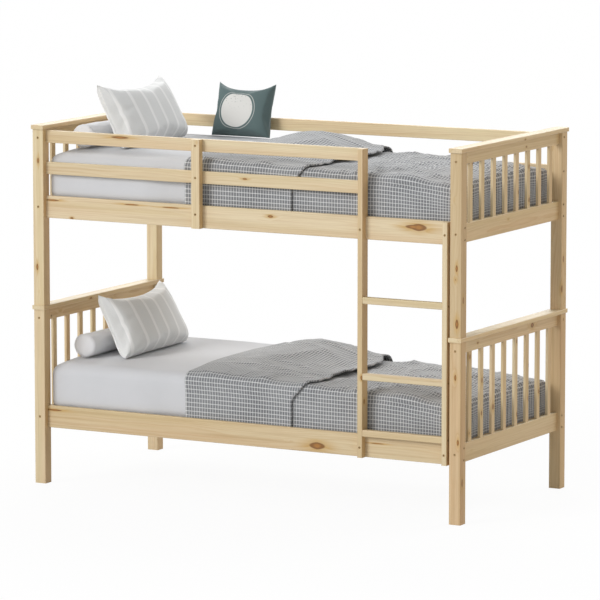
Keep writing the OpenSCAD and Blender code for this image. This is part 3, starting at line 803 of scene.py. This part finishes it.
def makePillows():
    first = stuffedCover("lower_striped_pillow", pillow, stripePaint)
    first.data.transform(Matrix.Translation((0, pillow["height"] / 2, 0)))
    turn = Matrix.Rotation(math.radians(pillow["yaw"]), 4, "Z")
    turn = turn @ Matrix.Rotation(-math.radians(pillow["lean"]), 4, "Y")
    rest = mattressHigh.z + bedGap
    standOn(first, turn @ standing, (*pillow["foot"], rest), rest, pillow["settle"])
    second = copyPiece(first, "upper_striped_pillow", bedRise)
    for level, piece in (("lower", first), ("upper", second)):
        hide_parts(level + "_pillow")
        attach(piece, level + "_pillow")


makePillows()
print("pillows made")


cushion = {
    "width": 0.296, "height": 0.244, "thick": 0.090, "spacing": 0.0072, "crowd": 0.30,
    "front": 0.50, "round": (3.6, 0.62), "bow": 0.0, "settle": 0.004,
    "belly": -0.15, "sidePull": 0.045, "topPull": 0.026, "sag": 0.0,
    "push": 5.0, "frames": 18, "stiff": 14, "bend": 0.2, "slack": 0.03, "cap": 0.008,
    "crumple": 0.0018, "dents": [],
    "foot": (-0.496, 0.376), "lean": 16.5,
}


def makeCushion():
    piece = stuffedCover("upper_small_cushion", cushion, printPaint)
    piece.data.transform(Matrix.Translation((0, cushion["height"] / 2, 0)))
    upright = Matrix.Rotation(math.radians(90), 4, "X")  # face towards -Y
    turn = Matrix.Rotation(-math.radians(cushion["lean"]), 4, "X")
    rest = mattressHigh.z + bedRise + bedGap
    standOn(piece, turn @ upright, (*cushion["foot"], rest), rest, cushion["settle"])
    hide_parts("upper_cushion")
    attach(piece, "upper_cushion")


makeCushion()
print("cushion made")


# Bolster: a soft roll with eased ends, long faint creases and gathers at the end seams

bolster = {
    "rings": 66,
    "around": 88,
    "insets": (0.12, 0.2, 0.2, 0.2, 0.15),  # the end faces' rings, as shares of the radius
    "ease": 0.011,
    "wide": 1.035,
    "low": 0.97,
    "crease": 0.0030,
    "gather": 0.0010,
    "gathers": 26,
    "gatherReach": 0.012,
    "seam": 0.0011,
    "seamPlace": 0.010,
    "seamHalf": 0.0022,
    "dome": 0.004,
    "dimple": 0.0012,
}


def rollShape(radius, length):  # a plain roll that stands on one end
    shape = bmesh.new()
    bmesh.ops.create_circle(shape, segments=bolster["around"], radius=radius)
    edges = shape.edges[:]
    for _ in range(bolster["rings"]):
        grown = bmesh.ops.extrude_edge_only(shape, edges=edges)["geom"]
        moved = [part for part in grown if isinstance(part, bmesh.types.BMVert)]
        bmesh.ops.translate(shape, vec=(0, 0, length / bolster["rings"]), verts=moved)
        edges = [part for part in grown if isinstance(part, bmesh.types.BMEdge)]
    bmesh.ops.holes_fill(shape, edges=[edge for edge in shape.edges if edge.is_boundary])
    for cap in [face for face in shape.faces if len(face.verts) > 4]:
        for share in bolster["insets"]:
            bmesh.ops.inset_individual(shape, faces=[cap], thickness=radius * share)
        bmesh.ops.poke(shape, faces=[cap])
    return shape


def soften(vert, radius, length, seed):
    toEnd = min(vert.co.z, length - vert.co.z)
    out = math.hypot(vert.co.x, vert.co.y) / radius
    angle = math.atan2(vert.co.y, vert.co.x)
    gone = 1 - min(1.0, toEnd / bolster["ease"])
    eased = 1 - bolster["ease"] / radius * (1 - math.sqrt(max(0.0, 1 - gone * gone)))
    around = Vector((math.cos(angle) * 1.6, math.sin(angle) * 1.6, vert.co.z * 7 + seed))
    fold = abs(noise.noise(around)) - 0.25 + 0.5 * noise.noise(around * 2.7)
    gather = math.sin(angle * bolster["gathers"] + fold * 4) * math.exp(-toEnd / bolster["gatherReach"])
    rimSeam = math.exp(-((toEnd - bolster["seamPlace"]) / bolster["seamHalf"]) ** 2)
    relief = bolster["crease"] * fold + bolster["gather"] * gather - bolster["crease"] * 0.6
    scale = eased + out * relief / radius
    scale += bolster["seam"] * rimSeam * out / radius
    dimple = bolster["dimple"] * noise.noise(Vector((vert.co.x * 40, vert.co.y * 40, seed)))
    dome = bolster["dome"] * (1 - out * out) + dimple
    if toEnd < 1e-4:
        vert.co.z += bolster["dome"] - dome if vert.co.z < length / 2 else dome - bolster["dome"]
    vert.co.x *= scale * bolster["wide"]
    vert.co.y *= scale * bolster["low"]


def makeBolster(level, seed):
    node = level + "_bolster"
    low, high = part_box(node)
    centre, size = (low + high) / 2, high - low
    radius, length = size.x / 2, size.y
    shape = rollShape(radius, length)
    for vert in shape.verts:
        soften(vert, radius, length, seed)
    bmesh.ops.rotate(shape, matrix=Matrix.Rotation(math.radians(-90), 3, "X"), verts=shape.verts)
    foot = centre.z - radius * bolster["low"] - low.z
    bmesh.ops.translate(shape, vec=(centre.x, low.y, centre.z - foot), verts=shape.verts)
    bmesh.ops.recalc_face_normals(shape, faces=shape.faces)
    piece = newPiece(level + "_bolster_roll", shape, bolsterPaint)
    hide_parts(node)
    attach(piece, node)


makeBolster("lower", 0.0)
makeBolster("upper", 9.0)
print("bolsters made")


# Blanket: one sheet that starts at the free edge of the folded-back part, turns over at the head
# edge, lies over the foot of the bed and hangs inside the rails

blanket = {
    "spacing": 0.011,
    "hem": 0.318,  # height of the hanging edges above the floor, lower bed
    "sideEdge": 0.027,
    "footEdge": 0.017,
    "headEdge": -0.292,
    "headBow": 0.012,
    "headWander": 0.016,
    "footBulge": 0.010,
    "flapLength": 0.60,
    "flapTop": 0.302,  # where the folded-back part ends on the bed's top, and on its sides
    "flapSide": 0.210,
    "flapBelly": 0.010,
    "flapWander": 0.006,
    "turnColumns": 4,
    "turnCell": 0.002,
    "turnOut": 0.0055,
    "lie": 0.0022,  # how far the cloth's middle is from what it lies on
    "flapOver": 0.0058,
    "flapEdge": 0.0105,  # how far the free edge stands off, and over what length
    "edgeReach": 0.045,
    "thick": 0.0034,
    "loft": 0.048,
    "loftMiddle": 0.26,
    "wrinkle": 0.0095,
    "baseWrinkle": 1.3,
    "ripple": 0.0016,
    "pleat": 0.005,
    "groove": 0.006,
    "grooveDown": 0.030,
    "uvStart": 2.0,
}


def turnDown(c, flat, radius):  # a length over a rounded edge: how far out, how far down, and the turn
    side = math.copysign(1.0, c)
    over = abs(c) - flat
    if over <= 0:
        return c, 0.0, 0.0
    arc = radius * math.pi / 2
    if over < arc:
        angle = over / radius
        return side * (flat + radius * math.sin(angle)), radius * (1 - math.cos(angle)), side * angle
    return side * (flat + radius), radius + over - arc, side * math.pi / 2


def ridge(x, y, seed, long, short):  # long soft creases that wander
    bendX = noise.noise(Vector((x * 2.1, y * 2.1, seed)))
    bendY = noise.noise(Vector((y * 2.3, x * 1.9, seed + 4)))
    bend = Vector((bendX, bendY))
    value = noise.noise(Vector(((x + bend.x * 0.10) * long, (y + bend.y * 0.10) * short, seed + 9)))
    return max(0.0, 1 - abs(value) * 3.2)


def headEdge(b):
    across = b / mattressHalf.y
    wander = blanket["headWander"] * noise.noise(Vector((b * 5, 2.0, 0)))
    straight = blanket["headEdge"] - blanket["headBow"] * max(0.0, 1 - across * across)
    return straight + wander * smoothStep(0.52, 0.42, abs(b))


def flapEdge(b):
    hang = smoothStep(0.375, 0.50, -b) if b < 0 else smoothStep(0.13, 0.41, b)
    wander = blanket["flapWander"] * noise.noise(Vector((b * 7, 8.0, 3)))
    belly = blanket["flapBelly"] * math.exp(-((b - 0.06) / 0.19) ** 2)
    return blanket["flapTop"] + (blanket["flapSide"] - blanket["flapTop"]) * hang + (wander + belly)


def flapLoft(x, y):  # the folded part stands off the bed most towards the back
    along = smoothStep(-0.29, -0.06, x) * smoothStep(0.30, 0.05, x)
    off = y - blanket["loftMiddle"]
    return blanket["loft"] * along * math.exp(-(off / (0.30 if off < 0 else 0.20)) ** 2)


def lowered(x, y, down):  # the crowned top's level, fading out down the hanging sides
    fade = 1 - smoothStep(0.03, 0.19, down)
    return mattressHigh.z - down - bedSink(x, y) * fade


def foldedPlace(column, b, outY, downY, turnY, flapColumns):
    head, flap = headEdge(b), flapEdge(b)
    upward = Vector((0, math.sin(turnY), math.cos(turnY)))
    onTop = math.cos(turnY)
    over = blanket["lie"] + blanket["flapOver"]
    if column <= flapColumns:
        share = column / flapColumns
        x = flap + (head - flap) * share
        near = math.exp(-(x - flap) ** 2 / blanket["edgeReach"] ** 2)
        over += blanket["flapEdge"] * near * (0.3 + 0.7 * onTop)
        over += flapLoft(x, outY) * onTop * smoothStep(1.0, 0.93, share)
        fold = ridge(x, b, 3.0, 2.6, 9.0) ** 2 * 0.7
        fold += ridge(x + b * 0.6, b - x * 0.4, 7.0, 7.0, 5.0) ** 2 * 0.5
        over += blanket["wrinkle"] * fold * onTop * smoothStep(1.0, 0.85, share)
        over += blanket["ripple"] * noise.noise(Vector((x * 16, b * 11, 5))) * onTop
        return Vector((x, outY, lowered(x, outY, downY))) + upward * over
    angle = (column - flapColumns) / blanket["turnColumns"] * math.pi
    middle = blanket["lie"] + blanket["flapOver"] / 2
    over = middle + blanket["flapOver"] / 2 * math.cos(angle)
    x = head - blanket["turnOut"] * math.sin(angle)
    return Vector((x, outY, lowered(x, outY, downY))) + upward * over


def basePlace(b, outX, downX, turnX, outY, downY, turnY):
    onTop = math.cos(turnX) * math.cos(turnY)
    normal = Vector((math.sin(turnX), math.sin(turnY) * math.cos(turnX), onTop))
    shown = smoothStep(flapEdge(b) - 0.10, flapEdge(b) + 0.10, outX) if downX == 0 else 1.0
    fold = ridge(outX, b, 21.0, 4.0, 7.0) ** 2 * 0.8 + ridge(outX - b * 0.5, b, 31.0, 9.0, 4.0) ** 2 * 0.6
    over = blanket["lie"] + blanket["wrinkle"] * blanket["baseWrinkle"] * fold * onTop * shown
    if turnX > 0:  # pleats down the foot end
        wave = 0.5 + 0.5 * math.sin(b * 92 + 2.2 * math.sin(b * 13))
        over += blanket["pleat"] * wave ** 2 * math.sin(turnX) * (1 - 0.5 * smoothStep(0.06, 0.2, downX))
    if abs(turnY) > 0:  # a groove and a faint ripple along the sides
        groove = math.exp(-((downY - blanket["grooveDown"]) / 0.010) ** 2) * smoothStep(0.48, 0.60, outX)
        over -= blanket["groove"] * groove * math.cos(turnX)
        wave = 1 + math.sin(outX * 41 + 2 * math.sin(outX * 9))
        over += blanket["ripple"] * wave * abs(math.sin(turnY)) * math.cos(turnX)
    z = lowered(outX, outY, math.hypot(downX, downY))
    return Vector((outX, outY, z)) + normal.normalized() * over


def blanketShape():
    sideEdge, footEdge = blanket["sideEdge"], blanket["footEdge"]
    flatX, flatY = mattressHigh.x + blanket["footBulge"] - footEdge, mattressHigh.y - sideEdge
    reachX = flatX + footEdge * (math.pi / 2 - 1) + mattressHigh.z - blanket["hem"]
    reachY = flatY + sideEdge * (math.pi / 2 - 1) + mattressHigh.z - blanket["hem"]
    rows = round(2 * reachY / blanket["spacing"])
    flapColumns = round(blanket["flapLength"] / blanket["spacing"])
    baseColumns = round((reachX - blanket["headEdge"]) / blanket["spacing"])
    turnColumns = blanket["turnColumns"]
    columns = flapColumns + turnColumns + baseColumns
    shape = bmesh.new()
    bmesh.ops.create_grid(shape, x_segments=columns, y_segments=rows, size=0.5)
    hemLayer = shape.verts.layers.deform.new("hem")
    doomed, lengthAlong, rowPlace = [], {}, {}
    for vert in shape.verts:
        column, row = round((vert.co.x + 0.5) * columns), round((vert.co.y + 0.5) * rows)
        b = (row / rows - 0.5) * 2 * reachY
        if column <= 1:
            vert[hemLayer][0] = 1.0
        outY, downY, turnY = turnDown(b, flatY, sideEdge)
        head = headEdge(b)
        if column < flapColumns + turnColumns:
            vert.co = foldedPlace(column, b, outY, downY, turnY, flapColumns)
            length = blanket["headEdge"] - (vert.co.x - head)
            if column > flapColumns:
                turned = column - flapColumns - turnColumns / 2
                length = blanket["headEdge"] + turned * blanket["turnCell"]
        else:
            share = (column - flapColumns - turnColumns) / baseColumns
            length = head + share * (reachX - head)
            outX, downX, turnX = turnDown(length, flatX, footEdge)
            if downX > footEdge * 0.98 and downY > sideEdge * 0.98:
                doomed.append(vert)
            else:
                vert.co = basePlace(b, outX, downX, turnX, outY, downY, turnY)
        lengthAlong[vert] = length
        if column == flapColumns + turnColumns + round(baseColumns * 0.5):
            rowPlace[row] = vert.co.copy()
        vert.index = row
    lengthAcross = [0.0]
    for row in range(1, rows + 1):
        lengthAcross.append(lengthAcross[-1] + (rowPlace[row] - rowPlace[row - 1]).length)
    layer = shape.loops.layers.uv.new("cut")
    for face in shape.faces:
        for loop in face.loops:
            u, v = lengthAlong[loop.vert] + blanket["uvStart"], lengthAcross[loop.vert.index]
            loop[layer].uv = (u, v)
    bmesh.ops.delete(shape, geom=doomed, context="VERTS")
    bmesh.ops.recalc_face_normals(shape, faces=shape.faces)
    return shape


def makeBlankets():
    first = newPiece("lower_checked_blanket", blanketShape(), checkPaint)
    body = first.modifiers.new("body", "SOLIDIFY")
    body.thickness = blanket["thick"] * 2
    body.thickness_vertex_group = 0.5
    body.offset = 0.0
    second = copyPiece(first, "upper_checked_blanket", bedRise)
    for level, piece in (("lower", first), ("upper", second)):
        piece.vertex_groups.new(name="hem")
        piece.modifiers["body"].vertex_group = "hem"
        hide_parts(level + "_blanket")
        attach(piece, level + "_mattress")


makeBlankets()
print("blankets made")


# Floor, sky and lamps: a plain white studio

studio = {
    "sky": 0.45,
    "lamps": {  # energy, angular size and where the light comes from
        "key": (1.77, 28.0, (-0.42, -0.80, 0.42)),
        "rimLeft": (1.15, 35.0, (-0.40, 0.72, 0.56)),
        "rimRight": (0.90, 35.0, (0.34, 0.72, 0.60)),
    },
    "reach": 150.0,
    "floor": 0.70,
    "floorShow": 0.92,
    "floorGlow": 1.021,
}


white = (1, 1, 1, 1)


def makeLamp(name, energy, angle, place):
    data = bpy.data.lights.new(name, "SUN")
    data.energy = energy
    data.angle = math.radians(angle)
    lamp = bpy.data.objects.new(name, data)
    lamp.rotation_euler = Vector(place).to_track_quat("Z", "Y").to_euler()
    scene.collection.objects.link(lamp)


def makeFloor():
    paint = Paint("studio_floor")
    isCamera = paint.add("ShaderNodeLightPath", {}, {}, "Is Camera Ray")
    isGlossy = paint.add("ShaderNodeLightPath", {}, {}, "Is Glossy Ray")
    matt = paint.add("ShaderNodeBsdfDiffuse", {}, {"Color": (*[studio["floor"]] * 3, 1)})
    glow = paint.add("ShaderNodeEmission", {}, {"Color": white, "Strength": studio["floorGlow"]})
    mix = paint.add("ShaderNodeMixShader", {}, [isCamera.most(isGlossy) * studio["floorShow"], matt, glow])
    output = paint.tree.nodes.new("ShaderNodeOutputMaterial")
    paint.tree.links.new(mix.socket, output.inputs[0])
    shape = bmesh.new()
    bmesh.ops.create_grid(shape, x_segments=2, y_segments=2, size=studio["reach"])
    floor = newPiece("studio_floor", shape, paint.material)


def makeSky():
    sky = Paint("studio_sky", "worlds")
    seen = sky.add("ShaderNodeLightPath", {}, {}, "Is Camera Ray")
    mirrored = sky.add("ShaderNodeLightPath", {}, {}, "Is Glossy Ray")
    strength = studio["sky"] + seen.most(mirrored) * (1 - studio["sky"])
    back = sky.add("ShaderNodeBackground", {}, {"Color": white, "Strength": strength})
    output = sky.tree.nodes.new("ShaderNodeOutputWorld")
    sky.tree.links.new(back.socket, output.inputs[0])
    scene.world = sky.material


makeFloor()
makeSky()
for lampName, (energy, angle, place) in studio["lamps"].items():
    makeLamp(lampName, energy, angle, place)
scene.view_settings.view_transform = "Standard"
print("studio made")
